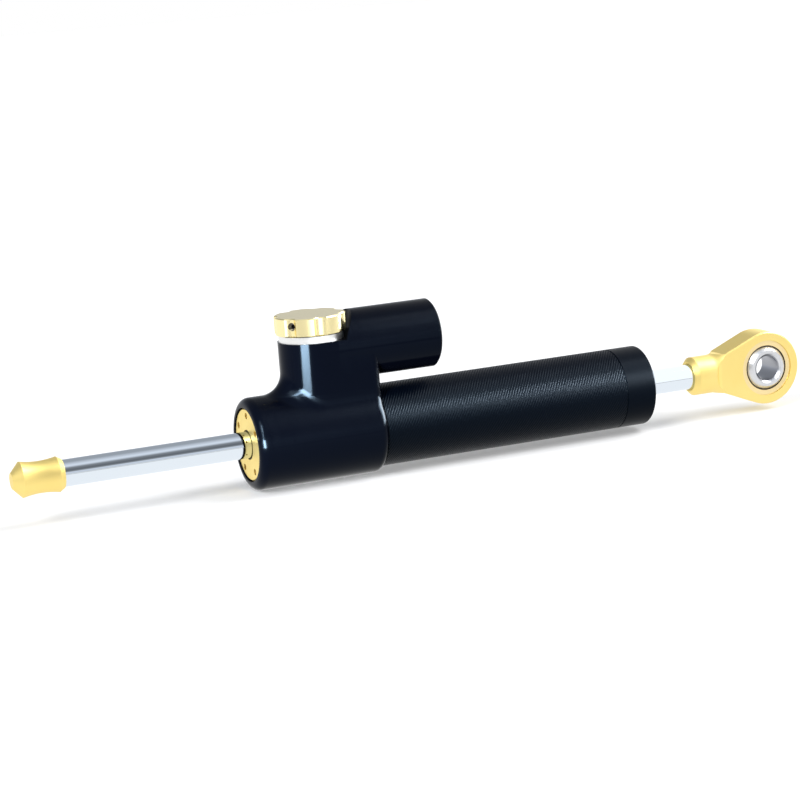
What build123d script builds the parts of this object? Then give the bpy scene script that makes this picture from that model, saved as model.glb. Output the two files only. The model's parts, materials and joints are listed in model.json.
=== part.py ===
import os
from math import cos, radians, sin, sqrt

from build123d import *

os.makedirs("parts", exist_ok=True)

# Steering damper with a through-rod, an adjuster turret and a side reservoir.
# Millimetres. X runs along the rod from the bump cap to the rod end, Z runs up the turret.
# The origin is on the rod's axis, in the middle of the tube that the clamp band holds.

# Clearances
overrun = 2.0
seat_gap = 0.02
running_gap = 0.05
knob_gap = 0.15

# Rod and its travel from the place where it stands
rod_d = 10.0
rod_out_front = 69.7
rod_out_rear = 22.5
travel_to_rear = 67.5
travel_to_front = 20.5

# Tubes: the cylinder's bore sets them, one round the other
clamp_length = 100.0
cylinder_bore_d = 22.0
liner_wall = 1.5
oil_jacket = 1.5
tube_wall = 1.5
tube_socket_depth = 12.0
tube_thread_step = 0.5
tube_edge_chamfer = 0.3
port_d = 3.0
rear_port_count = 6

# Housing
barrel_wall = 1.8
barrel_length = 50.5
barrel_front_round = 3.0
barrel_rear_round = 3.0
turret_setback = 22.0
turret_rim = 0.5
foot_share = 1.7
reservoir_wall = 2.95
reservoir_gap = 3.95
reservoir_reach = 47.4
reservoir_root_taper = 16.0
reservoir_rim_chamfer = 0.6
knob_pocket_sink = 3.5
knob_room = 2.2
liner_seat_length = 12.0
valve_floor = 2.7
valve_floor_port_d = 4.0
drilled_port_d = 2.6
feed_rise = 1.6

# Front gland and the seals in it
gland_step = 1.3
gland_inset = 0.5
gland_body = 12.7
gland_spigot = 3.6
gland_lip = 1.5
gland_lip_d = 11.2
gland_chamfer = 0.7
gland_groove_land = 2.2
gland_hole_angles = (33, 93, 150, 239, 301)
gland_hole_d = 2.4
gland_hole_depth = 4.0
seal_d = 16.0
wiper_length = 3.0
wiper_lip_d = 11.0
wiper_lip_length = 1.0
seal_length = 3.4
seal_notch_width = 1.2
seal_notch_depth = 1.6
front_bush_length = 8.0
rear_bush_length = 11.6

# O-rings, by the thickness of their cord
body_cord = 1.6
valve_cord = 1.2
spindle_cord = 0.8
oring_side_gap = 0.1

# End cap
end_cap_length = 12.5
end_cap_spigot = 12.0
end_cap_liner_seat = 3.0
end_cap_lip = 1.5
end_cap_bush_step = 1.6
end_cap_round = 0.8
end_cap_seam_chamfer = 0.3

# Piston
piston_length = 14.0
piston_clearance = 0.15
piston_band_width = 6.0
piston_band_depth = 1.25
piston_chamfer = 0.6
circlip_thickness = 1.0
circlip_depth = 0.5
circlip_rise = 1.6
circlip_mouth = 5.0

# Bump cap
bump_length = 18.6
bump_nose_d = 5.8
bump_front_ridge_d = 13.2
bump_waist_d = 11.6
bump_rear_ridge_d = 13.0
bump_mouth_d = 10.8
bump_nose_length = 3.4
bump_skirt_length = 1.8
bump_socket = 2.0
bump_spigot_d = 6.0
bump_spigot_length = 11.5
bump_tip_room = 1.0
rod_tip_chamfer = 0.5

# Rod end
eye_reach = 32.8
eye_d = 29.0
head_width = 12.0
head_slope = 22.5
head_root_height = 15.7
head_flat_start = 20.3
head_runout_r = 4.0
head_flare_r = 7.0
head_flare_start = 23.5
neck_d = 15.3
neck_chamfer = 1.7
neck_recess_d = 11.2
neck_recess = 0.5
neck_socket = 2.0
rod_thread_d = 8.0
rod_thread_length = 12.0
rod_tip_room = 1.5
eye_edge_chamfer = 0.5

# Spherical bearing in the eye
bearing_bore_d = 10.0
ball_d = 20.0
ball_width = 14.0
ball_bore_chamfer = 0.9
race_d = 22.0
race_width = 11.0
race_dish_d = 20.8
race_mouth_d = 17.1

# Detent ring, ball and spring
detent_ring_band = 3.6
detent_ring_height = 2.5
detent_ball_d = 2.5
detent_track_r = 1.35
detent_track_depth = 0.6
detent_dimple_r = 1.0
detent_dimple_depth = 0.15
detent_count = 18
detent_pocket_depth = 4.4
detent_wire_d = 0.35
detent_turns = 3

# Adjuster knob and its set screw
knob_overhang = 1.2
knob_height = 6.9
knob_crown = 1.2
knob_edge_chamfer = 0.4
flute_count = 7
flute_r = 3.2
flute_depth = 1.4
detent_lobe = 3.5
set_screw_d = 3.0
set_screw_length = 9.0
set_screw_angle = 216.5
set_screw_rise = 3.9
set_screw_key = 1.5
set_screw_key_depth = 1.6

# Adjuster spindle
spindle_d = 5.0
spindle_collar_gap = 0.2
spindle_collar_height = 1.2
spindle_screw_d = 2.9
spindle_screw_length = 4.2
spindle_flat = 0.4
spindle_groove_rise = 0.8

# Valve cartridge
flange_lip = 2.0
flange_thickness = 0.8
flange_sink = 0.2
cartridge_length = 12.6
cartridge_bore_d = 7.6
cartridge_wall = 2.68
journal_length = 2.7
lower_groove_rise = 0.4
flow_groove_rise = 2.4
flow_groove_height = 2.4
flow_groove_depth = 1.1
flow_hole_d = 1.6
flow_hole_count = 4
upper_groove_rise = 7.8

# Needle seat, needle and its key
seat_flange_lip = 1.2
seat_flange_height = 2.0
seat_insert_height = 2.4
orifice_d = 2.4
seat_cone_d = 4.8
seat_cone_height = 1.4
needle_opening = 0.9
needle_tip_d = 1.4
needle_cone_height = 2.6
needle_stem_d = 4.4
needle_stem_length = 2.0
needle_head_height = 2.7
needle_thread_d = 3.2
needle_thread_depth = 4.2
needle_slot_depth = 1.1
key_d = 1.2
key_end_gap = 0.2

# Reservoir pieces
reservoir_bore_d = 20.0
reservoir_floor = 3.1
float_length = 7.0
float_gap = 3.0
float_chamfer = 0.5
float_hollow_d = 12.0
float_hollow_depth = 3.5
reservoir_cap_thickness = 5.4
reservoir_cap_inset = 2.5
reservoir_cap_chamfer = 0.4
clip_thickness = 1.0
clip_depth = 0.5
clip_width = 1.3
clip_mouth = 5.0
clip_ear_r = 1.4
clip_ear_hole_d = 1.1
clip_ear_angle = 22.0
gas_screw_d = 5.0
gas_screw_head_d = 7.0
gas_screw_head_height = 1.8
gas_screw_key = 2.5
gas_screw_key_depth = 1.2

# Radii that follow from these
rod_r = rod_d / 2
running_r = rod_r + running_gap
seal_r = seal_d / 2
liner_bore_r = cylinder_bore_d / 2
liner_r = liner_bore_r + liner_wall
tube_bore_r = liner_r + oil_jacket
tube_r = tube_bore_r + tube_wall
tube_thread_r = tube_r - tube_thread_step
barrel_r = tube_r + barrel_wall
gland_r = liner_r + gland_step
gland_hole_circle_r = (seal_r + gland_r) / 2
cartridge_bore_r = cartridge_bore_d / 2
cartridge_r = cartridge_bore_r + cartridge_wall
valve_bore_r = cartridge_r + seat_gap
flange_r = cartridge_r + flange_lip
detent_ring_r = flange_r + detent_ring_band
detent_circle_r = (flange_r + detent_ring_r) / 2
turret_r = detent_ring_r + turret_rim
knob_r = detent_ring_r + knob_overhang
knob_pocket_r = knob_r + knob_room
foot_round = foot_share * (barrel_r - turret_r)
reservoir_bore_r = reservoir_bore_d / 2
reservoir_r = reservoir_bore_r + reservoir_wall

# Stations along the rod
x_rear = -clamp_length / 2
x_front = x_rear - barrel_length
x_turret = x_rear - turret_setback
x_seam = clamp_length / 2
x_cap_face = x_seam + end_cap_length
x_cap_nose = x_seam - end_cap_spigot
x_bump_mouth = x_front - rod_out_front
x_bump_tip = x_bump_mouth - bump_length
x_neck = x_cap_face + rod_out_rear
x_eye = x_neck + eye_reach
x_gland_face = x_front + gland_inset
x_liner_front = x_gland_face + gland_body
x_liner_rear = x_cap_nose + end_cap_liner_seat
x_gland_nose = x_liner_front + gland_spigot
x_gallery = x_liner_front + liner_seat_length
x_tube_front = x_rear - tube_socket_depth
x_rear_ports = x_cap_nose - port_d - seat_gap
x_front_port = x_gland_nose + port_d
x_piston = (x_front_port + x_rear_ports - travel_to_rear + travel_to_front) / 2
x_reservoir_end = x_turret + reservoir_reach
x_reservoir_floor = x_turret + knob_pocket_r + reservoir_floor
x_clip_rear = x_reservoir_end - reservoir_cap_inset
x_clip_front = x_clip_rear - clip_thickness - 2 * seat_gap

# Heights up the turret
reservoir_lift = tube_r + reservoir_gap + reservoir_r
turret_top = reservoir_lift + knob_pocket_sink
valve_bore_floor = barrel_r + valve_floor
feed_height = reservoir_lift - reservoir_bore_r + feed_rise
ring_top = turret_top + detent_ring_height
knob_bottom = ring_top + knob_gap
knob_top = knob_bottom + knob_height
flange_top = ring_top - flange_sink
flange_bottom = flange_top - flange_thickness
cartridge_bottom = flange_top - cartridge_length
flow_bottom = cartridge_bottom + flow_groove_rise
flow_height = flow_bottom + flow_groove_height / 2
journal_bottom = flange_top - journal_length
collar_top = journal_bottom - running_gap
collar_bottom = collar_top - spindle_collar_height
seat_top = cartridge_bottom + seat_insert_height
needle_shoulder = seat_top + needle_opening
needle_head_bottom = needle_shoulder + needle_stem_length
needle_head_top = needle_head_bottom + needle_head_height
turret_plane = Plane((x_turret, 0, 0))
turret_axis = Axis((x_turret, 0, 0), (0, 0, 1))
flute_step = 360 / flute_count
detent_angle = set_screw_angle + detent_lobe * flute_step


# Four corners of a ring's section, along its axis first
def ring_section(start, end, inner_r, outer_r):
    return [(start, inner_r), (end, inner_r), (end, outer_r), (start, outer_r)]


# Turns a closed outline of (x, radius) points about the rod's axis, or about one above it
def turn(points, mode=Mode.ADD, lift=0):
    with BuildSketch(Plane.XZ) as section:
        with BuildLine():
            Polyline(*[(x, lift + r) for x, r in points], close=True)
        make_face()
    revolve(section.sketch, axis=Axis((0, 0, lift), (1, 0, 0)), mode=mode)


# Turns a closed outline of (z, radius) points about the turret's axis
def turn_upright(points, mode=Mode.ADD):
    with BuildSketch(Plane.XZ) as section:
        with BuildLine():
            Polyline(*[(x_turret + r, z) for z, r in points], close=True)
        make_face()
    revolve(section.sketch, axis=turret_axis, mode=mode)


# A round bar, or the hole of one, that starts on a plane and follows its normal
def bar(plane, radius, length, mode=Mode.ADD):
    with BuildSketch(plane) as disc:
        Circle(radius)
    extrude(disc.sketch, amount=length, mode=mode)


# An O-ring lying along the rod: its groove starts at x and its outside is at outer_r
def oring(x, outer_r, cord, lift=0):
    with BuildSketch(Plane.XZ) as section:
        with Locations((x + oring_side_gap + cord / 2, lift + outer_r - cord / 2)):
            Circle(cord / 2)
    revolve(section.sketch, axis=Axis((0, 0, lift), (1, 0, 0)))


# The same about the turret's axis: its groove starts at z
def upright_oring(z, outer_r, cord):
    with BuildSketch(Plane.XZ) as section:
        with Locations((x_turret + outer_r - cord / 2, z + oring_side_gap + cord / 2)):
            Circle(cord / 2)
    revolve(section.sketch, axis=turret_axis)


# Section of the groove for an O-ring that starts at one station
def groove(start, outer_r, cord):
    floor_r = outer_r - cord - seat_gap
    return ring_section(start, start + cord + 2 * oring_side_gap, floor_r, outer_r + overrun)


# Section of a rod seal: a ring with a notch in the face that the oil presses on
def seal_section(oil_side, back):
    way = 1 if back > oil_side else -1
    middle = (running_r + seal_r) / 2
    return [
        (back, running_r),
        (oil_side, running_r),
        (oil_side, middle - seal_notch_width / 2),
        (oil_side + way * seal_notch_depth, middle),
        (oil_side, middle + seal_notch_width / 2),
        (oil_side, seal_r),
        (back, seal_r),
    ]


# Section of a wiper: a ring with a thin lip along the rod
def wiper_section(inner, outer, lip_end):
    return [
        (inner, running_r),
        (lip_end, running_r),
        (lip_end, wiper_lip_d / 2),
        (outer, wiper_lip_d / 2),
        (outer, seal_r),
        (inner, seal_r),
    ]


# Housing: turned barrel, turret and neck with a rounded foot, side reservoir and knob pocket
socket_r = gland_r + seat_gap
drill_foot = Vector(x_front_port, 0, liner_bore_r)
drill_mouth = Vector(x_turret - valve_bore_r, 0, flow_height)
drill_way = (drill_mouth - drill_foot).normalized()
valve_reach = (drill_mouth - drill_foot).length

with BuildPart() as housing:
    bar(Plane.YZ.offset(x_front), barrel_r, barrel_length)
    with BuildSketch(turret_plane):
        Circle(turret_r)
        with Locations((turret_setback / 2, 0)):
            Rectangle(turret_setback, 2 * turret_r)
    extrude(amount=reservoir_lift)
    foot_edges = [
        edge
        for edge in housing.edges()
        if barrel_r / 2 < edge.center().Z < barrel_r
        and x_front < edge.center().X < x_rear - foot_round / 2
    ]
    fillet(foot_edges, foot_round)
    rear_face = housing.faces().sort_by(Axis.X)[-1]
    rear_edges = [edge for edge in rear_face.edges() if edge.center().Z < reservoir_lift - seat_gap]
    fillet(rear_edges, barrel_rear_round)
    fillet(housing.faces().sort_by(Axis.X)[0].edges(), barrel_front_round)
    bar(turret_plane.offset(reservoir_lift), turret_r, knob_pocket_sink)
    reservoir_outline = [
        (x_turret, 0),
        (x_turret, turret_r),
        (x_turret + reservoir_root_taper, reservoir_r),
        (x_reservoir_end - reservoir_rim_chamfer, reservoir_r),
        (x_reservoir_end, reservoir_r - reservoir_rim_chamfer),
        (x_reservoir_end, 0),
    ]
    turn(reservoir_outline, lift=reservoir_lift)
    bar(turret_plane.offset(turret_top), knob_pocket_r, reservoir_lift, mode=Mode.SUBTRACT)
    bore_outline = [
        (x_front - overrun, 0),
        (x_front - overrun, socket_r),
        (x_liner_front, socket_r),
        (x_liner_front, liner_r + seat_gap),
        (x_gallery, liner_r + seat_gap),
        (x_gallery, tube_bore_r),
        (x_tube_front, tube_bore_r),
        (x_tube_front, tube_thread_r + seat_gap),
        (x_rear + overrun, tube_thread_r + seat_gap),
        (x_rear + overrun, 0),
    ]
    turn(bore_outline, mode=Mode.SUBTRACT)
    valve_bore_depth = turret_top - valve_bore_floor + overrun
    bar(turret_plane.offset(valve_bore_floor), valve_bore_r, valve_bore_depth, mode=Mode.SUBTRACT)
    bar(turret_plane, valve_floor_port_d / 2, valve_bore_floor + overrun, mode=Mode.SUBTRACT)
    bar(Plane(drill_foot, z_dir=drill_way), drilled_port_d / 2, valve_reach + overrun, mode=Mode.SUBTRACT)
    reservoir_end_plane = Plane((x_reservoir_floor, 0, reservoir_lift), x_dir=(0, 1, 0), z_dir=(1, 0, 0))
    bar(reservoir_end_plane, reservoir_bore_r, reservoir_reach, mode=Mode.SUBTRACT)
    feed_plane = Plane((x_turret, 0, feed_height), x_dir=(0, 1, 0), z_dir=(1, 0, 0))
    bar(feed_plane, drilled_port_d / 2, x_reservoir_floor - x_turret + overrun, mode=Mode.SUBTRACT)
    clip_seat_r = reservoir_bore_r + clip_depth
    turn(ring_section(x_clip_front, x_clip_rear, 0, clip_seat_r), mode=Mode.SUBTRACT, lift=reservoir_lift)
housing.part.label = "housing"
export_step(housing.part, "parts/housing.step")

# Tube that the clamp band holds; its front end is turned down and screwed into the housing
with BuildPart() as outer_tube:
    tube_outline = [
        (x_tube_front, tube_bore_r),
        (x_tube_front, tube_thread_r),
        (x_rear, tube_thread_r),
        (x_rear, tube_r),
        (x_seam - tube_edge_chamfer, tube_r),
        (x_seam, tube_r - tube_edge_chamfer),
        (x_seam, tube_bore_r),
    ]
    turn(tube_outline)
outer_tube.part.label = "outer_tube"
export_step(outer_tube.part, "parts/outer_tube.step")

# Inner cylinder: one port to the valve in front, a ring of ports to the gallery at the rear
with BuildPart() as inner_cylinder:
    turn(ring_section(x_liner_front, x_liner_rear, liner_bore_r, liner_r))
    bar(Plane((x_front_port, 0, 0)), port_d / 2, barrel_r, mode=Mode.SUBTRACT)
    for side in range(rear_port_count):
        port_way = Vector(0, 0, 1).rotate(Axis.X, side * 360 / rear_port_count)
        bar(Plane((x_rear_ports, 0, 0), z_dir=port_way), port_d / 2, barrel_r, mode=Mode.SUBTRACT)
inner_cylinder.part.label = "inner_cylinder"
export_step(inner_cylinder.part, "parts/inner_cylinder.step")

# Front gland: the plug that carries the rod's front bush and seals, with blind holes for a pin wrench
lip_r = gland_lip_d / 2
pocket_r = seal_r + seat_gap
x_gland_lip = x_gland_face + gland_lip
x_gland_groove = x_liner_front - gland_groove_land - body_cord - 2 * oring_side_gap
spigot_r = liner_bore_r - running_gap

with BuildPart() as front_gland:
    gland_outline = [
        (x_gland_face, lip_r),
        (x_gland_face, gland_r - gland_chamfer),
        (x_gland_face + gland_chamfer, gland_r),
        (x_liner_front, gland_r),
        (x_liner_front, spigot_r),
        (x_gland_nose, spigot_r),
        (x_gland_nose, pocket_r),
        (x_gland_lip, pocket_r),
        (x_gland_lip, lip_r),
    ]
    turn(gland_outline)
    turn(groove(x_gland_groove, gland_r, body_cord), mode=Mode.SUBTRACT)
    with BuildSketch(Plane.YZ.offset(x_gland_face)):
        for angle in gland_hole_angles:
            with PolarLocations(gland_hole_circle_r, 1, start_angle=angle):
                Circle(gland_hole_d / 2)
    extrude(amount=gland_hole_depth, mode=Mode.SUBTRACT)
front_gland.part.label = "front_gland"
export_step(front_gland.part, "parts/front_gland.step")

with BuildPart() as gland_oring:
    oring(x_gland_groove, gland_r, body_cord)
gland_oring.part.label = "gland_oring"
export_step(gland_oring.part, "parts/gland_oring.step")

with BuildPart() as front_wiper:
    x_wiper = x_gland_lip + wiper_length
    turn(wiper_section(x_wiper, x_gland_lip, x_gland_lip - wiper_lip_length))
front_wiper.part.label = "front_wiper"
export_step(front_wiper.part, "parts/front_wiper.step")

x_front_bush = x_gland_nose - front_bush_length
with BuildPart() as front_rod_seal:
    turn(seal_section(x_front_bush, x_front_bush - seal_length))
front_rod_seal.part.label = "front_rod_seal"
export_step(front_rod_seal.part, "parts/front_rod_seal.step")

with BuildPart() as front_rod_bush:
    turn(ring_section(x_front_bush, x_gland_nose, running_r, seal_r))
front_rod_bush.part.label = "front_rod_bush"
export_step(front_rod_bush.part, "parts/front_rod_bush.step")

# End cap: closes the tube, seats the inner cylinder and carries the rear bush and seals
cap_spigot_r = tube_bore_r - seat_gap
x_cap_lip = x_cap_face - end_cap_lip
x_cap_groove = (x_liner_rear + x_seam - body_cord) / 2 - oring_side_gap

with BuildPart() as end_cap:
    cap_outline = [
        (x_cap_nose, liner_r + seat_gap),
        (x_cap_nose, cap_spigot_r),
        (x_seam, cap_spigot_r),
        (x_seam, tube_r - end_cap_seam_chamfer),
        (x_seam + end_cap_seam_chamfer, tube_r),
        (x_cap_face, tube_r),
        (x_cap_face, lip_r),
        (x_cap_lip, lip_r),
        (x_cap_lip, pocket_r),
        (x_liner_rear, pocket_r),
        (x_liner_rear, liner_r + seat_gap),
    ]
    turn(cap_outline)
    turn(groove(x_cap_groove, cap_spigot_r, body_cord), mode=Mode.SUBTRACT)
    fillet(end_cap.faces().sort_by(Axis.X)[-1].outer_wire().edges(), end_cap_round)
end_cap.part.label = "end_cap"
export_step(end_cap.part, "parts/end_cap.step")

with BuildPart() as end_cap_oring:
    oring(x_cap_groove, cap_spigot_r, body_cord)
end_cap_oring.part.label = "end_cap_oring"
export_step(end_cap_oring.part, "parts/end_cap_oring.step")

with BuildPart() as rear_wiper:
    turn(wiper_section(x_cap_lip - wiper_length, x_cap_lip, x_cap_lip + wiper_lip_length))
rear_wiper.part.label = "rear_wiper"
export_step(rear_wiper.part, "parts/rear_wiper.step")

x_rear_bush = x_liner_rear + end_cap_bush_step
x_rear_seal = x_rear_bush + rear_bush_length
with BuildPart() as rear_rod_bush:
    turn(ring_section(x_rear_bush, x_rear_seal, running_r, seal_r))
rear_rod_bush.part.label = "rear_rod_bush"
export_step(rear_rod_bush.part, "parts/rear_rod_bush.step")

with BuildPart() as rear_rod_seal:
    turn(seal_section(x_rear_seal, x_rear_seal + seal_length))
rear_rod_seal.part.label = "rear_rod_seal"
export_step(rear_rod_seal.part, "parts/rear_rod_seal.step")

# Piston, its band and the two rings that hold it on the rod
piston_r = liner_bore_r - piston_clearance
x_piston_front = x_piston - piston_length / 2
x_piston_rear = x_piston + piston_length / 2
band_r = liner_bore_r - running_gap
band_seat_r = piston_r - piston_band_depth

with BuildPart() as piston:
    piston_outline = [
        (x_piston_front, rod_r + seat_gap),
        (x_piston_front, piston_r - piston_chamfer),
        (x_piston_front + piston_chamfer, piston_r),
        (x_piston_rear - piston_chamfer, piston_r),
        (x_piston_rear, piston_r - piston_chamfer),
        (x_piston_rear, rod_r + seat_gap),
    ]
    turn(piston_outline)
    groove_half = piston_band_width / 2 + running_gap
    band_groove = ring_section(x_piston - groove_half, x_piston + groove_half, band_seat_r, liner_r)
    turn(band_groove, mode=Mode.SUBTRACT)
piston.part.label = "piston"
export_step(piston.part, "parts/piston.step")

with BuildPart() as piston_band:
    band_half = piston_band_width / 2
    turn(ring_section(x_piston - band_half, x_piston + band_half, band_seat_r + seat_gap, band_r))
piston_band.part.label = "piston_band"
export_step(piston_band.part, "parts/piston_band.step")

clip_seat = circlip_thickness + 2 * seat_gap
x_front_circlip = x_piston_front - running_gap - clip_seat
x_rear_circlip = x_piston_rear + running_gap
with BuildPart() as piston_circlips:
    for x in (x_front_circlip, x_rear_circlip):
        with BuildSketch(Plane.YZ.offset(x + seat_gap)):
            Circle(rod_r + circlip_rise)
            Circle(rod_r - circlip_depth + seat_gap, mode=Mode.SUBTRACT)
            with Locations((0, rod_r)):
                Rectangle(circlip_mouth, rod_d, mode=Mode.SUBTRACT)
        extrude(amount=circlip_thickness)
piston_circlips.part.label = "piston_circlips"
export_step(piston_circlips.part, "parts/piston_circlips.step")

# Rod: runs right through, with a spigot for the bump cap and a thread for the rod end
x_rod_front = x_bump_mouth - bump_socket
x_rod_rear = x_neck + neck_socket
bump_spigot_r = bump_spigot_d / 2
rod_thread_r = rod_thread_d / 2
x_spigot_tip = x_rod_front - bump_spigot_length
x_thread_tip = x_rod_rear + rod_thread_length

with BuildPart() as piston_rod:
    rod_outline = [
        (x_spigot_tip, 0),
        (x_spigot_tip, bump_spigot_r - rod_tip_chamfer),
        (x_spigot_tip + rod_tip_chamfer, bump_spigot_r),
        (x_rod_front, bump_spigot_r),
        (x_rod_front, rod_r),
        (x_rod_rear, rod_r),
        (x_rod_rear, rod_thread_r),
        (x_thread_tip - rod_tip_chamfer, rod_thread_r),
        (x_thread_tip, rod_thread_r - rod_tip_chamfer),
        (x_thread_tip, 0),
    ]
    turn(rod_outline)
    for x in (x_front_circlip, x_rear_circlip):
        turn(ring_section(x, x + clip_seat, rod_r - circlip_depth, rod_d), mode=Mode.SUBTRACT)
piston_rod.part.label = "piston_rod"
export_step(piston_rod.part, "parts/piston_rod.step")

# Bump cap: a waisted cap on the rod's front end
with BuildPart() as bump_cap:
    x_nose_ridge = x_bump_tip + bump_nose_length
    x_skirt_ridge = x_bump_mouth - bump_skirt_length
    with BuildSketch(Plane.XZ):
        with BuildLine():
            Polyline(
                (x_nose_ridge, bump_front_ridge_d / 2),
                (x_bump_tip, bump_nose_d / 2),
                (x_bump_tip, 0),
                (x_spigot_tip - bump_tip_room, 0),
                (x_spigot_tip - bump_tip_room, bump_spigot_r + seat_gap),
                (x_rod_front, bump_spigot_r + seat_gap),
                (x_rod_front, rod_r + seat_gap),
                (x_bump_mouth, rod_r + seat_gap),
                (x_bump_mouth, bump_mouth_d / 2),
                (x_skirt_ridge, bump_rear_ridge_d / 2),
            )
            ThreePointArc(
                (x_skirt_ridge, bump_rear_ridge_d / 2),
                ((x_skirt_ridge + x_nose_ridge) / 2, bump_waist_d / 2),
                (x_nose_ridge, bump_front_ridge_d / 2),
            )
        make_face()
    revolve(axis=Axis.X)
bump_cap.part.label = "bump_cap"
export_step(bump_cap.part, "parts/bump_cap.step")

# Rod end: a turned blank, cut to the eye's outline from the side and to the flats from above
eye_r = eye_d / 2
neck_r = neck_d / 2
head_half = head_width / 2
head_root = head_root_height / 2
x_flare = x_eye - head_flare_start
x_flat = x_eye - head_flat_start
slope_rise = sin(radians(head_slope))
slope_run = cos(radians(head_slope))
x_touch = x_eye - eye_r * slope_rise
z_touch = eye_r * slope_run
x_root = x_eye - (eye_r - head_root * slope_run) / slope_rise
runout = sqrt(head_runout_r**2 - (head_runout_r - neck_r + head_half - running_gap) ** 2)

with BuildPart() as rod_end:
    with BuildSketch(Plane.XZ):
        with BuildLine():
            Polyline(
                (x_eye + eye_d, 0),
                (x_neck, 0),
                (x_neck, neck_r - neck_chamfer),
                (x_neck + neck_chamfer, neck_r),
                (x_flare, neck_r),
            )
            flare = JernArc((x_flare, neck_r), (1, 0), head_flare_r, 90)
            Polyline(flare @ 1, (x_flare + head_flare_r, eye_d), (x_eye + eye_d, eye_d), (x_eye + eye_d, 0))
        make_face()
    revolve(axis=Axis.X)
    with BuildSketch(Plane.XZ):
        with Locations((x_eye, 0)):
            Circle(eye_r)
        with BuildLine():
            Polyline(
                (x_neck - overrun, -head_root),
                (x_root, -head_root),
                (x_touch, -z_touch),
                (x_eye, 0),
                (x_touch, z_touch),
                (x_root, head_root),
                (x_neck - overrun, head_root),
                close=True,
            )
        make_face()
    extrude(amount=eye_d, both=True, mode=Mode.INTERSECT)
    with BuildSketch(Plane.XY):
        with BuildLine():
            Polyline(
                (x_flat - runout, neck_r + running_gap),
                (x_neck - overrun, neck_r + running_gap),
                (x_neck - overrun, 0),
                (x_eye + eye_d, 0),
                (x_eye + eye_d, head_half),
                (x_flat, head_half),
            )
            RadiusArc((x_flat, head_half), (x_flat - runout, neck_r + running_gap), head_runout_r)
        make_face()
        mirror(about=Plane.XZ)
    extrude(amount=eye_d, both=True, mode=Mode.INTERSECT)
    eye_rims = [
        edge
        for edge in rod_end.edges().filter_by(GeomType.CIRCLE)
        if abs(edge.radius - eye_r) < seat_gap and abs(abs(edge.center().Y) - head_half) < seat_gap
    ]
    chamfer(eye_rims, eye_edge_chamfer)
    eye_plane = Plane.XZ.shift_origin((x_eye, 0, 0)).offset(-eye_d)
    bar(eye_plane, race_d / 2 + seat_gap, 2 * eye_d, mode=Mode.SUBTRACT)
    socket_outline = [
        (x_neck - overrun, 0),
        (x_neck - overrun, neck_recess_d / 2),
        (x_neck, neck_recess_d / 2),
        (x_neck + neck_recess, rod_r + seat_gap),
        (x_rod_rear, rod_r + seat_gap),
        (x_rod_rear, rod_thread_r + seat_gap),
        (x_thread_tip + rod_tip_room, rod_thread_r + seat_gap),
        (x_thread_tip + rod_tip_room, 0),
    ]
    turn(socket_outline, mode=Mode.SUBTRACT)
rod_end.part.label = "rod_end"
export_step(rod_end.part, "parts/rod_end.step")

# Spherical bearing: bronze race pressed in the eye, ball with the bolt's bore
bearing_axis = Axis((x_eye, 0, 0), (0, 1, 0))
race_r = race_d / 2
race_half = race_width / 2
race_seat_r = ball_d / 2 + running_gap
race_mouth_r = race_mouth_d / 2
race_mouth_y = sqrt(race_seat_r**2 - race_mouth_r**2)

with BuildPart() as bearing_race:
    with BuildSketch(Plane.XY):
        with BuildLine():
            Polyline(
                (x_eye + race_mouth_r, race_mouth_y),
                (x_eye + race_dish_d / 2, race_half),
                (x_eye + race_r, race_half),
                (x_eye + race_r, -race_half),
                (x_eye + race_dish_d / 2, -race_half),
                (x_eye + race_mouth_r, -race_mouth_y),
            )
            ThreePointArc(
                (x_eye + race_mouth_r, -race_mouth_y),
                (x_eye + race_seat_r, 0),
                (x_eye + race_mouth_r, race_mouth_y),
            )
        make_face()
    revolve(axis=bearing_axis)
bearing_race.part.label = "bearing_race"
export_step(bearing_race.part, "parts/bearing_race.step")

ball_r = ball_d / 2
ball_half = ball_width / 2
bearing_bore_r = bearing_bore_d / 2
ball_face_r = sqrt(ball_r**2 - ball_half**2)
with BuildPart() as bearing_ball:
    with BuildSketch(Plane.XY):
        with BuildLine():
            Polyline(
                (x_eye + ball_face_r, ball_half),
                (x_eye + bearing_bore_r + ball_bore_chamfer, ball_half),
                (x_eye + bearing_bore_r, ball_half - ball_bore_chamfer),
                (x_eye + bearing_bore_r, ball_bore_chamfer - ball_half),
                (x_eye + bearing_bore_r + ball_bore_chamfer, -ball_half),
                (x_eye + ball_face_r, -ball_half),
            )
            ThreePointArc(
                (x_eye + ball_face_r, -ball_half),
                (x_eye + ball_r, 0),
                (x_eye + ball_face_r, ball_half),
            )
        make_face()
    revolve(axis=bearing_axis)
bearing_ball.part.label = "bearing_ball"
export_step(bearing_ball.part, "parts/bearing_ball.step")

# Detent ring under the knob, with a track and dimples for the ball
detent_z = ring_top - detent_track_depth + detent_track_r
ring_outline = [
    (turret_top, valve_bore_r + seat_gap),
    (turret_top, detent_ring_r),
    (ring_top, detent_ring_r),
    (ring_top, flange_r + seat_gap),
    (flange_bottom, flange_r + seat_gap),
    (flange_bottom, valve_bore_r + seat_gap),
]
with BuildPart() as detent_ring:
    turn_upright(ring_outline)
    with BuildSketch(Plane.XZ):
        with Locations((x_turret + detent_circle_r, detent_z)):
            Circle(detent_track_r)
    revolve(axis=turret_axis, mode=Mode.SUBTRACT)
    dimple_z = detent_z - detent_track_r - detent_dimple_depth + detent_dimple_r
    with Locations(turret_plane.offset(dimple_z)):
        with PolarLocations(detent_circle_r, detent_count, start_angle=detent_angle):
            Sphere(detent_dimple_r, mode=Mode.SUBTRACT)
detent_ring.part.label = "detent_ring"
export_step(detent_ring.part, "parts/detent_ring.step")

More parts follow.
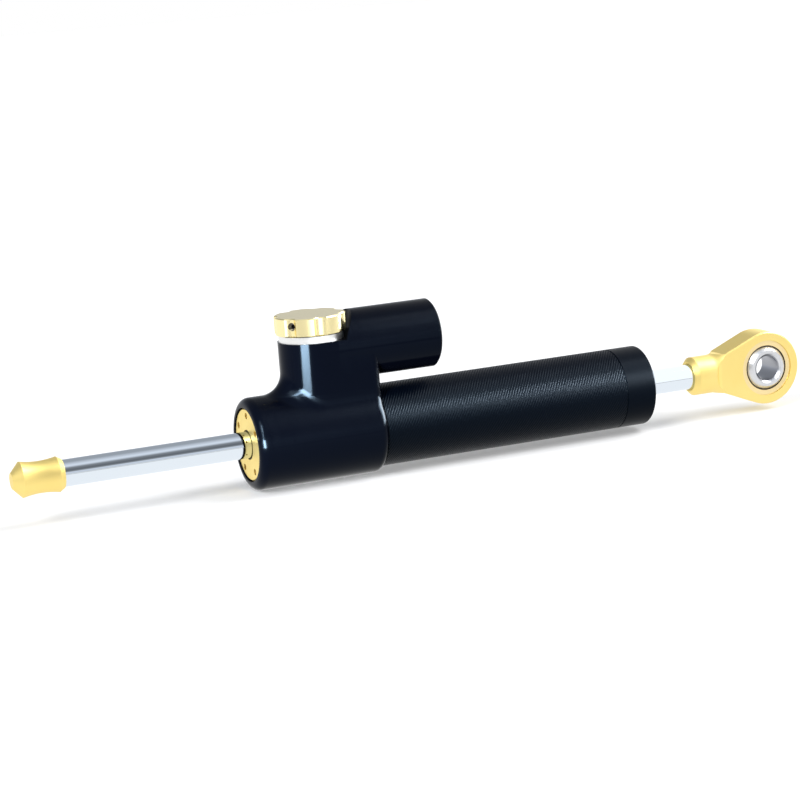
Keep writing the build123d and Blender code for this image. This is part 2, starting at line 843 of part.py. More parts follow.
# Knob: seven flutes, a socket for the spindle, a pocket for the ball and a set screw hole
spindle_r = spindle_d / 2
spindle_top = knob_top - knob_crown - running_gap
screw_z = knob_bottom + set_screw_rise
screw_way = Vector(1, 0, 0).rotate(Axis.Z, set_screw_angle)
screw_plane = Plane(Vector(x_turret, 0, screw_z), z_dir=screw_way)
screw_foot = spindle_r - spindle_flat + seat_gap
pocket_plane = turret_plane.offset(knob_bottom)

with BuildPart() as adjuster_knob:
    with BuildSketch(pocket_plane):
        Circle(knob_r)
        with PolarLocations(knob_r - flute_depth + flute_r, flute_count, start_angle=set_screw_angle):
            Circle(flute_r, mode=Mode.SUBTRACT)
    extrude(amount=knob_height)
    rims = adjuster_knob.faces().filter_by(Axis.Z).edges()
    chamfer(rims, knob_edge_chamfer)
    bar(pocket_plane, spindle_r + seat_gap, knob_height - knob_crown, mode=Mode.SUBTRACT)
    with BuildSketch(pocket_plane):
        with PolarLocations(detent_circle_r, 1, start_angle=detent_angle):
            Circle(detent_ball_d / 2 + running_gap)
    extrude(amount=detent_pocket_depth, mode=Mode.SUBTRACT)
    bar(screw_plane, set_screw_d / 2 + seat_gap, 2 * knob_r, mode=Mode.SUBTRACT)
adjuster_knob.part.label = "adjuster_knob"
export_step(adjuster_knob.part, "parts/adjuster_knob.step")

with BuildPart() as knob_set_screw:
    bar(screw_plane.offset(screw_foot), set_screw_d / 2, set_screw_length)
    with BuildSketch(screw_plane.offset(screw_foot + set_screw_length)):
        RegularPolygon(set_screw_key / 2, 6, major_radius=False)
    extrude(amount=-set_screw_key_depth, mode=Mode.SUBTRACT)
knob_set_screw.part.label = "knob_set_screw"
export_step(knob_set_screw.part, "parts/knob_set_screw.step")

# Detent ball and the coil spring that presses it down
ball_place = Vector(detent_circle_r, 0, 0).rotate(Axis.Z, detent_angle)
detent_centre = Vector(x_turret, 0, detent_z) + ball_place
with BuildPart() as detent_ball:
    with Locations(detent_centre):
        Sphere(detent_ball_d / 2)
detent_ball.part.label = "detent_ball"
export_step(detent_ball.part, "parts/detent_ball.step")

wire_r = detent_wire_d / 2
spring_bottom = detent_centre.Z + detent_ball_d / 2 + wire_r + seat_gap
spring_top = knob_bottom + detent_pocket_depth - wire_r - seat_gap
spring_height = spring_top - spring_bottom
with BuildPart() as detent_spring:
    with BuildLine() as coil:
        Helix(
            spring_height / detent_turns,
            spring_height,
            detent_ball_d / 2 - 2 * wire_r,
            center=(detent_centre.X, detent_centre.Y, spring_bottom),
        )
    with BuildSketch(Plane(coil.line @ 0, z_dir=coil.line % 0)):
        Circle(wire_r)
    sweep(path=coil.line)
detent_spring.part.label = "detent_spring"
export_step(detent_spring.part, "parts/detent_spring.step")

# Spindle: screws the needle up and down, turns with the knob
spindle_screw_r = spindle_screw_d / 2
spindle_collar_r = cartridge_bore_r - spindle_collar_gap
screw_bottom = collar_bottom - spindle_screw_length
spindle_groove = journal_bottom + spindle_groove_rise
with BuildPart() as adjuster_spindle:
    spindle_outline = [
        (screw_bottom, 0),
        (screw_bottom, spindle_screw_r),
        (collar_bottom, spindle_screw_r),
        (collar_bottom, spindle_collar_r),
        (collar_top, spindle_collar_r),
        (collar_top, spindle_r),
        (spindle_top, spindle_r),
        (spindle_top, 0),
    ]
    turn_upright(spindle_outline)
    turn_upright(groove(spindle_groove, spindle_r, spindle_cord), mode=Mode.SUBTRACT)
    with BuildSketch(screw_plane.offset(screw_foot - seat_gap)):
        Rectangle(spindle_d, 2 * (spindle_top - screw_z))
    extrude(amount=spindle_d, mode=Mode.SUBTRACT)
adjuster_spindle.part.label = "adjuster_spindle"
export_step(adjuster_spindle.part, "parts/adjuster_spindle.step")

with BuildPart() as spindle_oring:
    upright_oring(spindle_groove, spindle_r, spindle_cord)
spindle_oring.part.label = "spindle_oring"
export_step(spindle_oring.part, "parts/spindle_oring.step")

# Valve cartridge: holds the seat, the needle and the spindle in the turret
lower_groove = cartridge_bottom + lower_groove_rise
upper_groove = cartridge_bottom + upper_groove_rise
key_z = (needle_head_bottom + needle_head_top) / 2
slot_floor_r = cartridge_bore_r - running_gap - needle_slot_depth
key_plane = Plane((x_turret + slot_floor_r + running_gap, 0, key_z), z_dir=(1, 0, 0))
key_length = cartridge_r - slot_floor_r - key_end_gap
with BuildPart() as valve_cartridge:
    cartridge_outline = [
        (cartridge_bottom, cartridge_bore_r),
        (cartridge_bottom, cartridge_r),
        (flange_bottom, cartridge_r),
        (flange_bottom, flange_r),
        (flange_top, flange_r),
        (flange_top, spindle_r + running_gap),
        (journal_bottom, spindle_r + running_gap),
        (journal_bottom, cartridge_bore_r),
    ]
    turn_upright(cartridge_outline)
    for start in (lower_groove, upper_groove):
        turn_upright(groove(start, cartridge_r, valve_cord), mode=Mode.SUBTRACT)
    flow_section = ring_section(
        flow_bottom, flow_bottom + flow_groove_height, cartridge_r - flow_groove_depth, flange_r
    )
    turn_upright(flow_section, mode=Mode.SUBTRACT)
    for side in range(flow_hole_count):
        hole_way = Vector(1, 0, 0).rotate(Axis.Z, side * 360 / flow_hole_count)
        hole_plane = Plane((x_turret, 0, flow_height), z_dir=hole_way)
        bar(hole_plane, flow_hole_d / 2, flange_r, mode=Mode.SUBTRACT)
    bar(key_plane, key_d / 2 + seat_gap, key_length + seat_gap, mode=Mode.SUBTRACT)
valve_cartridge.part.label = "valve_cartridge"
export_step(valve_cartridge.part, "parts/valve_cartridge.step")

with BuildPart() as cartridge_orings:
    for start in (lower_groove, upper_groove):
        upright_oring(start, cartridge_r, valve_cord)
cartridge_orings.part.label = "cartridge_orings"
export_step(cartridge_orings.part, "parts/cartridge_orings.step")

seat_flange_r = cartridge_bore_r + seat_flange_lip
with BuildPart() as needle_seat:
    seat_outline = [
        (cartridge_bottom - seat_flange_height, orifice_d / 2),
        (cartridge_bottom - seat_flange_height, seat_flange_r),
        (cartridge_bottom, seat_flange_r),
        (cartridge_bottom, cartridge_bore_r - seat_gap),
        (seat_top, cartridge_bore_r - seat_gap),
        (seat_top, seat_cone_d / 2),
        (seat_top - seat_cone_height, orifice_d / 2),
    ]
    turn_upright(seat_outline)
needle_seat.part.label = "needle_seat"
export_step(needle_seat.part, "parts/needle_seat.step")

# Needle: slides on its key while the spindle turns in its thread
with BuildPart() as needle_valve:
    needle_outline = [
        (needle_shoulder - needle_cone_height, 0),
        (needle_shoulder - needle_cone_height, needle_tip_d / 2),
        (needle_shoulder, needle_stem_d / 2),
        (needle_head_bottom, needle_stem_d / 2),
        (needle_head_bottom, cartridge_bore_r - running_gap),
        (needle_head_top, cartridge_bore_r - running_gap),
        (needle_head_top, needle_thread_d / 2),
        (needle_head_top - needle_thread_depth, needle_thread_d / 2),
        (needle_head_top - needle_thread_depth, 0),
    ]
    turn_upright(needle_outline)
    with BuildSketch(turret_plane.offset(needle_head_bottom)):
        with Locations((slot_floor_r + cartridge_bore_r / 2, 0)):
            Rectangle(cartridge_bore_r, key_d + 2 * running_gap)
    extrude(amount=needle_head_height, mode=Mode.SUBTRACT)
needle_valve.part.label = "needle_valve"
export_step(needle_valve.part, "parts/needle_valve.step")

with BuildPart() as needle_key:
    bar(key_plane, key_d / 2, key_length)
needle_key.part.label = "needle_key"
export_step(needle_key.part, "parts/needle_key.step")

# Reservoir: floating piston between oil and gas, cap, retaining ring and gas screw
float_r = reservoir_bore_r - running_gap
x_float = x_reservoir_floor + float_gap
x_float_rear = x_float + float_length
x_float_groove = x_float + (float_length - body_cord) / 2 - oring_side_gap
with BuildPart() as reservoir_piston:
    float_outline = [
        (x_float, 0),
        (x_float, float_r - float_chamfer),
        (x_float + float_chamfer, float_r),
        (x_float_rear - float_chamfer, float_r),
        (x_float_rear, float_r - float_chamfer),
        (x_float_rear, float_hollow_d / 2),
        (x_float_rear - float_hollow_depth, float_hollow_d / 2),
        (x_float_rear - float_hollow_depth, 0),
    ]
    turn(float_outline, lift=reservoir_lift)
    turn(groove(x_float_groove, float_r, body_cord), mode=Mode.SUBTRACT, lift=reservoir_lift)
reservoir_piston.part.label = "reservoir_piston"
export_step(reservoir_piston.part, "parts/reservoir_piston.step")

with BuildPart() as reservoir_piston_oring:
    oring(x_float_groove, float_r, body_cord, lift=reservoir_lift)
reservoir_piston_oring.part.label = "reservoir_piston_oring"
export_step(reservoir_piston_oring.part, "parts/reservoir_piston_oring.step")

cap_r = reservoir_bore_r - seat_gap
x_lid_inner = x_clip_front - reservoir_cap_thickness
x_lid_groove = x_lid_inner + (reservoir_cap_thickness - body_cord) / 2 - oring_side_gap
gas_screw_r = gas_screw_d / 2
gas_head_r = gas_screw_head_d / 2
x_gas_head = x_clip_front - gas_screw_head_height
with BuildPart() as reservoir_cap:
    lid_outline = [
        (x_lid_inner, gas_screw_r + seat_gap),
        (x_lid_inner, cap_r - reservoir_cap_chamfer),
        (x_lid_inner + reservoir_cap_chamfer, cap_r),
        (x_clip_front, cap_r),
        (x_clip_front, gas_head_r + running_gap),
        (x_gas_head, gas_head_r + running_gap),
        (x_gas_head, gas_screw_r + seat_gap),
    ]
    turn(lid_outline, lift=reservoir_lift)
    turn(groove(x_lid_groove, cap_r, body_cord), mode=Mode.SUBTRACT, lift=reservoir_lift)
reservoir_cap.part.label = "reservoir_cap"
export_step(reservoir_cap.part, "parts/reservoir_cap.step")

with BuildPart() as reservoir_cap_oring:
    oring(x_lid_groove, cap_r, body_cord, lift=reservoir_lift)
reservoir_cap_oring.part.label = "reservoir_cap_oring"
export_step(reservoir_cap_oring.part, "parts/reservoir_cap_oring.step")

clip_r = clip_seat_r - seat_gap
clip_inner_r = clip_r - clip_width
clip_plane = Plane((x_clip_front + seat_gap, 0, reservoir_lift), x_dir=(0, 1, 0), z_dir=(1, 0, 0))
with BuildPart() as reservoir_circlip:
    with BuildSketch(clip_plane):
        Circle(clip_r)
        Circle(clip_inner_r, mode=Mode.SUBTRACT)
        with Locations((0, clip_inner_r)):
            Rectangle(clip_mouth, clip_r, mode=Mode.SUBTRACT)
        for side in (-1, 1):
            with PolarLocations(clip_inner_r - clip_ear_r / 2, 1, start_angle=90 + side * clip_ear_angle):
                Circle(clip_ear_r)
                Circle(clip_ear_hole_d / 2, mode=Mode.SUBTRACT)
    extrude(amount=clip_thickness)
reservoir_circlip.part.label = "reservoir_circlip"
export_step(reservoir_circlip.part, "parts/reservoir_circlip.step")

with BuildPart() as gas_fill_screw:
    gas_screw_outline = [
        (x_lid_inner, 0),
        (x_lid_inner, gas_screw_r),
        (x_gas_head, gas_screw_r),
        (x_gas_head, gas_head_r),
        (x_clip_front, gas_head_r),
        (x_clip_front, 0),
    ]
    turn(gas_screw_outline, lift=reservoir_lift)
    with BuildSketch(clip_plane.offset(-seat_gap)):
        RegularPolygon(gas_screw_key / 2, 6, major_radius=False)
    extrude(amount=-gas_screw_key_depth, mode=Mode.SUBTRACT)
gas_fill_screw.part.label = "gas_fill_screw"
export_step(gas_fill_screw.part, "parts/gas_fill_screw.step")
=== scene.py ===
"""Looks of a motorcycle steering damper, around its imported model.

Metres. X runs along the rod from the bump cap to the rod end, Z runs up the adjuster turret.
"""

import json
import math

import bpy
from mathutils import Matrix, Vector


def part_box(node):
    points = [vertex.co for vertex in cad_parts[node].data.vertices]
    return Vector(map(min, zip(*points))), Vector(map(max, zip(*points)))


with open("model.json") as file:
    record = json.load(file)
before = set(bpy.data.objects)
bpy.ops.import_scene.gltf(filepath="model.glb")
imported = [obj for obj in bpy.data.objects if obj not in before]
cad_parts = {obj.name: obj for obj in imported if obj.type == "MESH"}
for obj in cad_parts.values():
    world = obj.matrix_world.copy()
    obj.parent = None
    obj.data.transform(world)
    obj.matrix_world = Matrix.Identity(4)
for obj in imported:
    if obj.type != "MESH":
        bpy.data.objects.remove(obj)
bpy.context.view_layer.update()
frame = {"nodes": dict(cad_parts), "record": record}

# Camera: place, axes and lens fitted to the photograph
camera_place = Vector((-0.35775, -0.79924, 0.17205))
camera_right = Vector((0.92085, -0.38290, -0.07360))
camera_up = Vector((0.13879, 0.14547, 0.97958))
camera_ahead = Vector((0.36437, 0.91226, -0.18710))
camera_lens = 104.49
camera_sensor = 36.0

# Places on the object, worked out from its nodes
MM = 0.001
X, Y, Z = 0, 1, 2
housing_low, housing_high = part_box("housing")
knob_low, knob_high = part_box("adjuster_knob")
ball_low, ball_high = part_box("bearing_ball")
floor_z = housing_low.z
ring_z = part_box("detent_ring")[0].z
tube_top_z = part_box("outer_tube")[1].z
barrel_top_z = -housing_low.z - 0.5 * MM
reservoir_foot_z = ring_z - 12 * MM
turret_x = (knob_low.x + knob_high.x) / 2
turret_y = (knob_low.y + knob_high.y) / 2
neck_x = turret_x + 6 * MM
eye_x = (ball_low.x + ball_high.x) / 2
bore_edge = 5.3 * MM
race_mouth_edge = 9.0 * MM

# Colours, as reflected or scattered light from 0 to 1
GLOSS_BLACK = (0.0002, 0.0003, 0.0008)
SATIN_BLACK = (0.0003, 0.0007, 0.0018)
GLOSS_TINT = (0.55, 0.78, 1.0, 1.0)
SATIN_TINT = (0.5, 0.75, 1.0, 1.0)
GOLD = (1.0, 0.79, 0.28)
GOLD_DEEP = (0.99, 0.76, 0.25)
GOLD_PALE = (1.0, 0.82, 0.31)
# The knob's top gold is darker than its side: painted shade on the top.
KNOB_GOLD = (1.0, 0.87, 0.47)
KNOB_TOP_SHADED_GOLD = (0.78, 0.70, 0.46)
CHROME = (0.72, 0.78, 0.84)
RING_SILVER = (0.95, 0.95, 0.93)
BALL_STEEL = (0.70, 0.71, 0.73)
# Darker steel inside the ball's bore: painted shade.
BORE_SHADED_STEEL = (0.38, 0.39, 0.42)
RACE_BRONZE = (0.95, 0.76, 0.40)
# Dark ring on the race along the ball: painted shade in the gap between them.
RACE_GAP_SHADE = (0.05, 0.04, 0.03)
BUSH_BRONZE = (0.55, 0.36, 0.16)
ALUMINIUM = (0.78, 0.79, 0.80)
STEEL = (0.60, 0.61, 0.63)
SCREW_STEEL = (0.12, 0.12, 0.13)
RUBBER = (0.012, 0.012, 0.013)
SEAL_PLASTIC = (0.20, 0.12, 0.07)
SEAL_PLASTIC_DARK = (0.15, 0.09, 0.05)
SEAL_PLASTIC_LIGHT = (0.27, 0.17, 0.10)
LAMP_WHITE = (0.90, 0.95, 1.0)

# Marks of machining
LINE_ROUNDNESS = 0.04
FINE_DEPTH = 0.02 * MM
FINE_PITCH = 0.15 * MM
CAP_PITCH = 0.3 * MM
BARREL_PITCH = 0.4 * MM
TURRET_PITCH = 0.5 * MM
KNOB_RING_PITCH = 0.22 * MM
KNOB_RING_DEPTH = 0.05 * MM
CHROME_DEPTH = 0.005 * MM
STROKE_PITCH = 1.1 * MM
STROKE_STARTS = 53
STROKE_DEPTH = 0.12 * MM
STROKE_SHARE = 0.6
TOP_FACES_FROM = 0.9


class Tree:
    """Adds shader nodes to one node tree, with their inputs given by name or by number."""

    def __init__(self, tree):
        self.tree = tree

    def add(self, kind, inputs=None, **settings):
        node = self.tree.nodes.new("ShaderNode" + kind)
        for name, value in settings.items():
            setattr(node, name, value)
        for name, value in (inputs or {}).items():
            self.put(node.inputs[name], value)
        return node

    def put(self, socket, value):
        if isinstance(value, bpy.types.NodeSocket):
            self.tree.links.new(value, socket)
        else:
            socket.default_value = value

    def math(self, operation, first, second=0.0):
        return self.add("Math", {0: first, 1: second}, operation=operation).outputs[0]

    def length(self, first, second):
        """Distance from the axis that two coordinates are measured from."""
        square = self.math("ADD", self.math("POWER", first, 2.0), self.math("POWER", second, 2.0))
        return self.math("SQRT", square)

    def split(self, vector):
        return self.add("SeparateXYZ", {0: vector}).outputs

    def ramp(self, factor, stops):
        """A colour ramp with (place, colour) stops; a grey is given as one number."""
        node = self.add("ValToRGB", {0: factor})
        elements = node.color_ramp.elements
        while len(elements) < len(stops):
            elements.new(1.0)
        for element, (place, colour) in zip(elements, stops):
            element.position = place
            element.color = rgba(colour)
        return node.outputs["Color"]

    def mix_colour(self, factor, first, second):
        inputs = {0: factor, 6: first, 7: second}
        return self.add("Mix", inputs, data_type="RGBA").outputs[2]

    def place(self):
        """The point in the object's own frame, which is the part's frame at rest."""
        return self.add("TexCoord").outputs["Object"]

    def noise(self, vector, scale, detail=2.0):
        inputs = {"Vector": vector, "Scale": scale, "Detail": detail}
        return self.add("TexNoise", inputs).outputs["Fac"]

    def lines(self, pitch, axis=X):
        """Lines of turning about one axis: noise that is long round the axis and short along it."""
        scale = [LINE_ROUNDNESS / pitch] * 3
        scale[axis] = 1.0 / pitch
        inputs = {0: self.place(), 1: tuple(scale)}
        stretched = self.add("VectorMath", inputs, operation="MULTIPLY").outputs["Vector"]
        return self.noise(stretched, 1.0, detail=3.0)


def rgba(colour):
    if isinstance(colour, (int, float)):
        colour = (colour,) * 3
    return (*colour, 1.0)


def new_material(name, colour, roughness, metallic=0.0, specular=0.5, **sockets):
    """A Principled material and its tree; constants are set on the shader's own sockets."""
    material = bpy.data.materials.new(name)
    material.use_nodes = True
    shader = material.node_tree.nodes["Principled BSDF"]
    shader.inputs["Base Color"].default_value = rgba(colour)
    shader.inputs["Roughness"].default_value = roughness
    shader.inputs["Metallic"].default_value = metallic
    shader.inputs["Specular IOR Level"].default_value = specular
    for socket, value in sockets.items():
        shader.inputs[socket.replace("_", " ")].default_value = value
    return material, Tree(material.node_tree), shader


def bump(tree, shader, height, strength, distance=FINE_DEPTH):
    node = tree.add("Bump", {"Height": height, "Strength": strength, "Distance": distance})
    tree.put(shader.inputs["Normal"], node.outputs["Normal"])


def brushed(tree, shader, amount, direction):
    """Draws highlights out along the axis that the turning marks run round."""
    tree.put(shader.inputs["Tangent"], tree.add("CombineXYZ", direction).outputs[0])
    shader.inputs["Anisotropic"].default_value = amount


def vary_roughness(tree, shader, factor, low, high):
    """Roughness from low to high with a factor from 0 to 1."""
    inputs = {"Value": factor, "To Min": low, "To Max": high}
    tree.put(shader.inputs["Roughness"], tree.add("MapRange", inputs).outputs["Result"])


def vary_colour(tree, shader, factor, low, high):
    tree.put(shader.inputs["Base Color"], tree.ramp(factor, [(0.0, low), (1.0, high)]))


def make_black_gloss():
    """Black hard coat of the housing; its marks and streaks turn upright on the turret and neck."""
    material, tree, shader = new_material(
        "black_gloss", GLOSS_BLACK, 0.2, specular=0.06, Specular_Tint=GLOSS_TINT
    )
    parts = tree.split(tree.place())
    above_barrel = tree.math("GREATER_THAN", parts["Z"], barrel_top_z)
    below_reservoir = tree.math("LESS_THAN", parts["Z"], reservoir_foot_z)
    before_neck = tree.math("LESS_THAN", parts["X"], neck_x)
    off_reservoir = tree.math("MAXIMUM", below_reservoir, before_neck)
    upright = tree.math("MULTIPLY", above_barrel, off_reservoir)
    lengthwise = tree.math("SUBTRACT", 1.0, upright)
    brushed(tree, shader, 0.85, {X: lengthwise, Z: upright})
    inputs = {0: upright, 2: tree.lines(BARREL_PITCH), 3: tree.lines(TURRET_PITCH, Z)}
    lines = tree.add("Mix", inputs, data_type="FLOAT").outputs[0]
    bump(tree, shader, lines, 0.15)
    vary_roughness(tree, shader, lines, 0.14, 0.22)
    return material


def make_black_satin():
    """Black tube with fine slanting strokes that catch the light."""
    material, tree, shader = new_material(
        "black_satin", SATIN_BLACK, 0.42, specular=0.09, Specular_Tint=SATIN_TINT
    )
    parts = tree.split(tree.place())
    turn = tree.math("DIVIDE", tree.math("ARCTAN2", parts["Z"], parts["Y"]), 2 * math.pi)
    along = tree.math("DIVIDE", parts["X"], STROKE_PITCH)
    phase = tree.math("ADD", along, tree.math("MULTIPLY", turn, STROKE_STARTS))
    wave = tree.math("SINE", tree.math("MULTIPLY", phase, 2 * math.pi))
    blur = tree.noise(tree.place(), 700.0, detail=3.0)
    strokes = tree.math("ADD", tree.math("MULTIPLY", wave, STROKE_SHARE), blur)
    brushed(tree, shader, 0.95, {X: 1.0})
    bump(tree, shader, strokes, 0.6, STROKE_DEPTH)
    vary_roughness(tree, shader, strokes, 0.34, 0.54)
    return material


def make_black_cap():
    """Smooth satin black of the end cap and the reservoir cap."""
    material, tree, shader = new_material(
        "black_cap", SATIN_BLACK, 0.4, specular=0.06, Specular_Tint=SATIN_TINT
    )
    brushed(tree, shader, 0.7, {X: 1.0})
    lines = tree.lines(CAP_PITCH)
    bump(tree, shader, lines, 0.08)
    vary_roughness(tree, shader, lines, 0.36, 0.44)
    return material


def make_gold():
    """Satin gold anodised aluminium of the gland, bump cap and rod end."""
    material, tree, shader = new_material("gold_anodised", GOLD, 0.45, metallic=1.0)
    grain = tree.noise(tree.place(), 1500.0, detail=4.0)
    bump(tree, shader, grain, 0.12)
    vary_colour(tree, shader, tree.noise(tree.place(), 90.0), GOLD_DEEP, GOLD_PALE)
    vary_roughness(tree, shader, grain, 0.42, 0.52)
    return material


def make_gold_knob():
    """Bright pale gold of the knob, with rings of turning on its rougher top; the top's colour is
    darker too, which is painted shade.
    """
    material, tree, shader = new_material("gold_knob", KNOB_GOLD, 0.26, metallic=1.0)
    inputs = {0: tree.place(), 1: (-turret_x, -turret_y, 0.0)}
    parts = tree.split(tree.add("VectorMath", inputs, operation="ADD").outputs["Vector"])
    radius = tree.math("MULTIPLY", tree.length(parts["X"], parts["Y"]), 1 / KNOB_RING_PITCH)
    rings = tree.noise(tree.add("CombineXYZ", {X: radius}).outputs[0], 1.0)
    normal = tree.split(tree.add("NewGeometry").outputs["Normal"])
    on_top = tree.math("GREATER_THAN", normal["Z"], TOP_FACES_FROM)
    bump(tree, shader, tree.math("MULTIPLY", rings, on_top), 0.3, KNOB_RING_DEPTH)
    vary_roughness(tree, shader, on_top, 0.26, 0.40)
    # Top faces get the darker gold: painted shade on the knob's top.
    vary_colour(tree, shader, on_top, KNOB_GOLD, KNOB_TOP_SHADED_GOLD)
    return material


def make_chrome():
    """Hard chrome of the rod, polished, with faint lines of grinding."""
    material, tree, shader = new_material("chromed_rod", CHROME, 0.03, metallic=1.0)
    bump(tree, shader, tree.lines(FINE_PITCH), 0.02, CHROME_DEPTH)
    vary_roughness(tree, shader, tree.noise(tree.place(), 300.0), 0.02, 0.05)
    return material


def make_metal(name, colour, roughness, axis=X):
    """A bare metal with lines of turning or grinding about one axis."""
    material, tree, shader = new_material(name, colour, roughness, metallic=1.0)
    lines = tree.lines(FINE_PITCH, axis)
    bump(tree, shader, lines, 0.05)
    vary_roughness(tree, shader, lines, roughness * 0.85, roughness * 1.2)
    dull = tuple(share * 0.92 for share in colour)
    vary_colour(tree, shader, tree.noise(tree.place(), 200.0), dull, colour)
    return material


def make_bearing_metal(name, inside, outside, edge, roughness, least, most):
    """A metal turned about the eye's axis, with a darker colour, painted shade, inside an edge
    round that axis.
    """
    material, tree, shader = new_material(name, outside, roughness, metallic=1.0)
    parts = tree.split(tree.place())
    radius = tree.length(tree.math("SUBTRACT", parts["X"], eye_x), parts["Z"])
    vary_colour(tree, shader, tree.math("LESS_THAN", radius, edge), outside, inside)
    lines = tree.lines(FINE_PITCH, Y)
    bump(tree, shader, lines, 0.05)
    vary_roughness(tree, shader, lines, least, most)
    return material


def make_race_bronze():
    """Pale bronze of the race, with painted shade along the ball, in the gap between them."""
    edge = race_mouth_edge
    # Near its mouth the race is dark: painted shade in the gap to the ball.
    return make_bearing_metal("race_bronze", RACE_GAP_SHADE, RACE_BRONZE, edge, 0.35, 0.32, 0.40)


def make_bearing_steel():
    """Steel of the ball, with painted shade in its bore."""
    edge = bore_edge
    # Inside the bore edge the steel is darker: painted shade in the bore.
    return make_bearing_metal("bearing_steel", BORE_SHADED_STEEL, BALL_STEEL, edge, 0.32, 0.29, 0.36)


def make_rubber():
    material, tree, shader = new_material("rubber", RUBBER, 0.55, specular=0.4)
    bump(tree, shader, tree.noise(tree.place(), 4000.0, detail=3.0), 0.2)
    return material


def make_seal_plastic():
    material, tree, shader = new_material("seal_plastic", SEAL_PLASTIC, 0.5, specular=0.4)
    fleck = tree.noise(tree.place(), 2500.0, detail=3.0)
    vary_colour(tree, shader, fleck, SEAL_PLASTIC_DARK, SEAL_PLASTIC_LIGHT)
    return material


def dress_nodes():
    """Gives every CAD node the material of its slot in the record."""
    materials = {
        "black_gloss": make_black_gloss(),
        "black_satin": make_black_satin(),
        "black_cap": make_black_cap(),
        "gold_anodised": make_gold(),
        "gold_knob": make_gold_knob(),
        "chromed_rod": make_chrome(),
        "bright_ring": make_metal("bright_ring", RING_SILVER, 0.42, axis=Z),
        "bearing_steel": make_bearing_steel(),
        "race_bronze": make_race_bronze(),
        "bronze": make_metal("bronze", BUSH_BRONZE, 0.35),
        "plain_aluminium": make_metal("plain_aluminium", ALUMINIUM, 0.3),
        "steel": make_metal("steel", STEEL, 0.25),
        "dark_screw": make_metal("dark_screw", SCREW_STEEL, 0.3),
        "seal_plastic": make_seal_plastic(),
        "rubber": make_rubber(),
    }
    slots = {part["node"]: part["material_slot"] for part in frame["record"]["subparts"]}
    for name, node in frame["nodes"].items():
        for slot in node.material_slots:
            slot.material = materials[slots[name]]


def make_camera():
    data = bpy.data.cameras.new("camera")
    data.lens = camera_lens
    data.sensor_width = camera_sensor
    camera = bpy.data.objects.new("camera", data)
    bpy.context.scene.collection.objects.link(camera)
    turn = Matrix((camera_right, camera_up, -camera_ahead)).transposed().to_4x4()
    camera.matrix_world = Matrix.Translation(camera_place) @ turn
    bpy.context.scene.camera = camera


# Brightness of the studio by its angle over the object, from the horizon in front (0) to that
# behind (1), then the colour of that light at brightness 1
STUDIO_STOPS = [
    (0.00, 0.60),
    (0.045, 0.72),
    (0.072, 0.76),
    (0.095, 0.36),
    (0.155, 0.15),
    (0.20, 0.18),
    (0.28, 0.27),
    (0.355, 0.74),
    (0.39, 0.84),
    (0.50, 0.62),
    (0.61, 0.40),
    (0.81, 0.38),
    (0.90, 0.50),
    (1.00, 1.00),
]
STUDIO_WHITE = (1.05, 1.10, 1.19)

# A white panel covers the side of the studio towards +X, from one share of the way to the other
PANEL_LIGHT = 1.3
PANEL_FROM = 0.36
PANEL_TO = 0.46


def make_world():
    """A white studio for the camera; other rays see its bands of light and dark."""
    world = bpy.data.worlds.new("studio")
    bpy.context.scene.world = world
    world.use_nodes = True
    tree = Tree(world.node_tree)
    parts = tree.split(tree.add("TexCoord").outputs["Generated"])
    forwards = tree.math("MULTIPLY", parts["Y"], -1.0)
    angle = tree.math("DIVIDE", tree.math("ARCTAN2", parts["Z"], forwards), math.pi)
    stops = []
    for place, level in STUDIO_STOPS:
        stops.append((place, tuple(share * level for share in STUDIO_WHITE)))
    inputs = {"Value": parts["X"], "From Min": PANEL_FROM, "From Max": PANEL_TO}
    panel = tree.add("MapRange", inputs).outputs["Result"]
    studio = tree.mix_colour(panel, tree.ramp(angle, stops), rgba(PANEL_LIGHT))
    camera_ray = tree.add("LightPath").outputs["Is Camera Ray"]
    background = world.node_tree.nodes["Background"]
    tree.put(background.inputs["Color"], tree.mix_colour(camera_ray, studio, rgba(1.0)))
    background.inputs["Strength"].default_value = 1.0


# Brightness of the floor in reflections, by distance in front of the object: a dark band shows
# as the dark line along the rod
FLOOR_HALF_SIZE = 8.0
FLOOR_GREY = 0.6
FLOOR_LIFT = 0.30
FLOOR_STOPS = [(0.17, 1.1), (0.19, 0.22), (0.26, 0.22), (0.28, 1.1), (1.0, 1.1)]


def make_floor():
    """A white floor that keeps a soft shadow; metal sees it brighter, with its dark band."""
    s = FLOOR_HALF_SIZE
    corners = [(-s, -s, floor_z), (s, -s, floor_z), (s, s, floor_z), (-s, s, floor_z)]
    mesh = bpy.data.meshes.new("floor")
    mesh.from_pydata(corners, [], [(0, 1, 2, 3)])
    floor = bpy.data.objects.new("floor", mesh)
    bpy.context.scene.collection.objects.link(floor)
    material = bpy.data.materials.new("floor")
    material.use_nodes = True
    nodes = material.node_tree.nodes
    nodes.remove(nodes["Principled BSDF"])
    tree = Tree(material.node_tree)
    path = tree.add("LightPath").outputs
    distance = tree.math("MULTIPLY", tree.split(tree.place())["Y"], -1.0)
    diffuse = tree.add("BsdfDiffuse", {"Color": rgba(FLOOR_GREY)})
    strength = tree.math("MULTIPLY", path["Is Camera Ray"], FLOOR_LIFT)
    lift = tree.add("Emission", {"Color": rgba(1.0), "Strength": strength})
    seen = tree.add("AddShader", {0: diffuse.outputs[0], 1: lift.outputs[0]})
    mirrored = tree.add("Emission", {"Color": tree.ramp(distance, FLOOR_STOPS)})
    reflected = tree.math("MAXIMUM", path["Is Glossy Ray"], path["Is Transmission Ray"])
    both = tree.add("MixShader", {0: reflected, 1: seen.outputs[0], 2: mirrored.outputs[0]})
    tree.put(nodes["Material Output"].inputs["Surface"], both.outputs[0])
    mesh.materials.append(material)


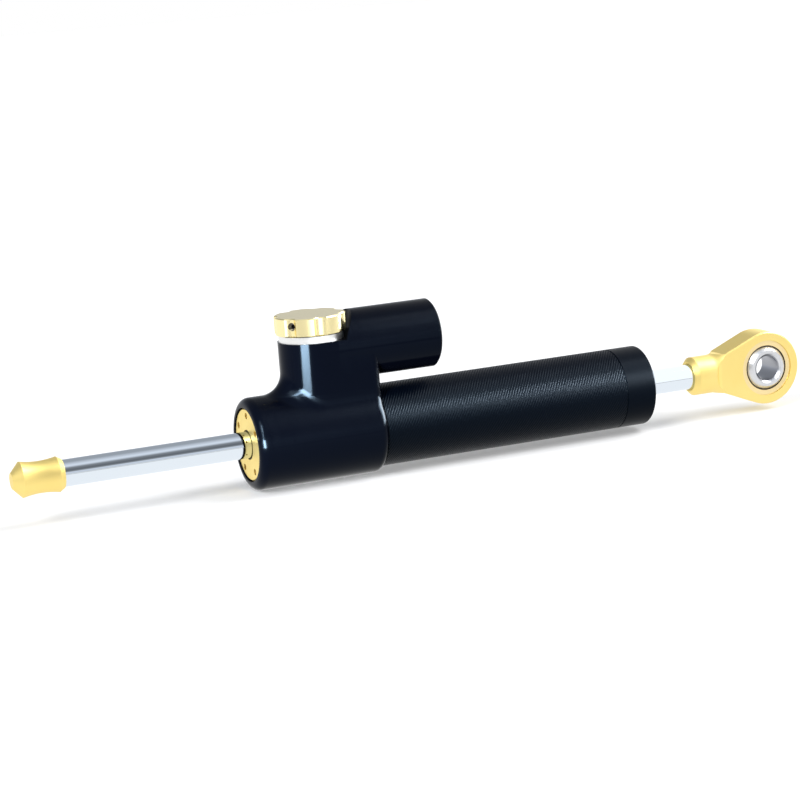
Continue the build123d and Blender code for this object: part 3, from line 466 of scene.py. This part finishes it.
def aim_light(light, azimuth, elevation, aim, distance):
    """Puts a lamp at an azimuth counted from +X to +Y and an elevation, facing its aim."""
    a = math.radians(azimuth)
    e = math.radians(elevation)
    way = Vector((math.cos(a) * math.cos(e), math.sin(a) * math.cos(e), math.sin(e)))
    light.location = aim + way * distance
    light.rotation_mode = "QUATERNION"
    light.rotation_quaternion = way.to_track_quat("Z", "Y")
    light.visible_camera = False
    bpy.context.scene.collection.objects.link(light)


def make_sun(name, azimuth, elevation, strength, width):
    """A distant lamp that lights everything evenly; width is its angle in degrees."""
    data = bpy.data.lights.new(name, "SUN")
    data.energy = strength
    data.angle = math.radians(width)
    aim_light(bpy.data.objects.new(name, data), azimuth, elevation, Vector((0, 0, 0)), 1.0)


def make_softbox(name, aim, azimuth, elevation, distance, size, brightness, lit_nodes):
    """A lamp near the object that lights some of its nodes only."""
    data = bpy.data.lights.new(name, "AREA")
    data.shape = "RECTANGLE"
    data.size, data.size_y = size
    data.energy = brightness * math.pi * data.size * data.size_y
    data.color = LAMP_WHITE
    light = bpy.data.objects.new(name, data)
    aim_light(light, azimuth, elevation, aim, distance)
    lit = bpy.data.collections.new(name)
    for node in lit_nodes:
        lit.objects.link(frame["nodes"][node])
    light.light_linking.receiver_collection = lit


def make_lights():
    """Two suns for the whole object, and narrow sheen for its black pieces and its knob."""
    turret = Vector((turret_x, 0, (tube_top_z + knob_low.z) / 2))
    seam = Vector((housing_high.x, 0, 0))
    housing = ("housing",)
    tube_and_caps = ("outer_tube", "end_cap", "reservoir_cap")
    black = housing + tube_and_caps
    knob = ("adjuster_knob", "detent_ring", "knob_set_screw")
    # name, azimuth, elevation, strength, width
    suns = (
        ("left", 215, 40, 2.0, 30),
        ("right", 350, 45, 1.8, 30),
    )
    # name, aim, azimuth, elevation, distance, size, brightness, lit nodes
    softboxes = (
        ("left_sheen", turret, 227, -0.5, 0.30, (0.14, 0.08), 330.0, housing),
        ("left_rim", turret, 222, 22, 0.60, (0.05, 0.45), 140.0, black),
        ("right_sheen", seam, 345, 14, 0.60, (0.10, 0.18), 270.0, tube_and_caps),
        ("knob_fill", turret, 275, -2, 0.30, (0.30, 0.08), 2.5, knob),
        ("right_high", seam, 348, 25, 0.60, (0.45, 0.45), 70.0, housing),
    )
    for sun in suns:
        make_sun(*sun)
    for softbox in softboxes:
        make_softbox(*softbox)


dress_nodes()
make_camera()
make_world()
make_floor()
make_lights()
bpy.context.scene.view_settings.view_transform = "Standard"
